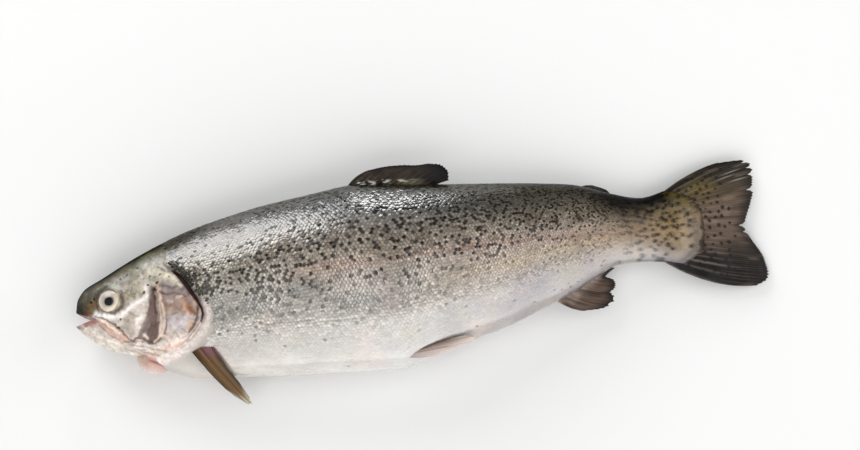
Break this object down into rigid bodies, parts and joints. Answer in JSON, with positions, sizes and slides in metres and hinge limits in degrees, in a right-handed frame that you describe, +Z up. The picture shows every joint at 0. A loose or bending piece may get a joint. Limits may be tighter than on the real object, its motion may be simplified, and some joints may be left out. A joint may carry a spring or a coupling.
{
  "type": "rainbow trout",
  "caption": "Whole rainbow trout lying on its side as caught: deep body, head with slightly open mouth and gill covers, all fins, forked tail.",
  "frame": {"origin": "centre of the bounding box at the level of the surface that the fish lies on", "axes": "+X from snout to tail, +Y towards the fish's back, +Z up, through its left flank"},
  "size_m": [0.3608, 0.1141, 0.0487],
  "materials": {
    "head_skin": "wet skin, olive-black crown, pale cheeks",
    "pale_skin": "wet cream and pink skin",
    "gill_plate": "wet pearly pink-brown bone plate",
    "flesh": "wet pink flesh",
    "flank_skin": "wet silver-grey scales with a dark spotted back",
    "dark_fin": "wet dark olive-brown fin membrane",
    "pale_fin": "wet orange-brown fin membrane",
    "eye_gloss": "clear wet cornea over a cream iris and a black pupil"
  },
  "bodies": {
    "root": {"head": "head_skin", "lower_jaw": "pale_skin", "gill_cover_left": "gill_plate", "gill_cover_right": "gill_plate", "maxilla_left": "pale_skin", "maxilla_right": "pale_skin", "eye_left": "eye_gloss", "eye_right": "eye_gloss", "isthmus": "flesh", "torso": "flank_skin", "tail_stalk": "flank_skin", "tail_fin": "dark_fin", "dorsal_fin": "dark_fin", "adipose_fin": "pale_fin", "anal_fin": "dark_fin", "pectoral_fin_left": "pale_fin", "pectoral_fin_right": "pale_fin", "pelvic_fin_left": "pale_fin", "pelvic_fin_right": "pale_fin"}
  },
  "joints": []
}
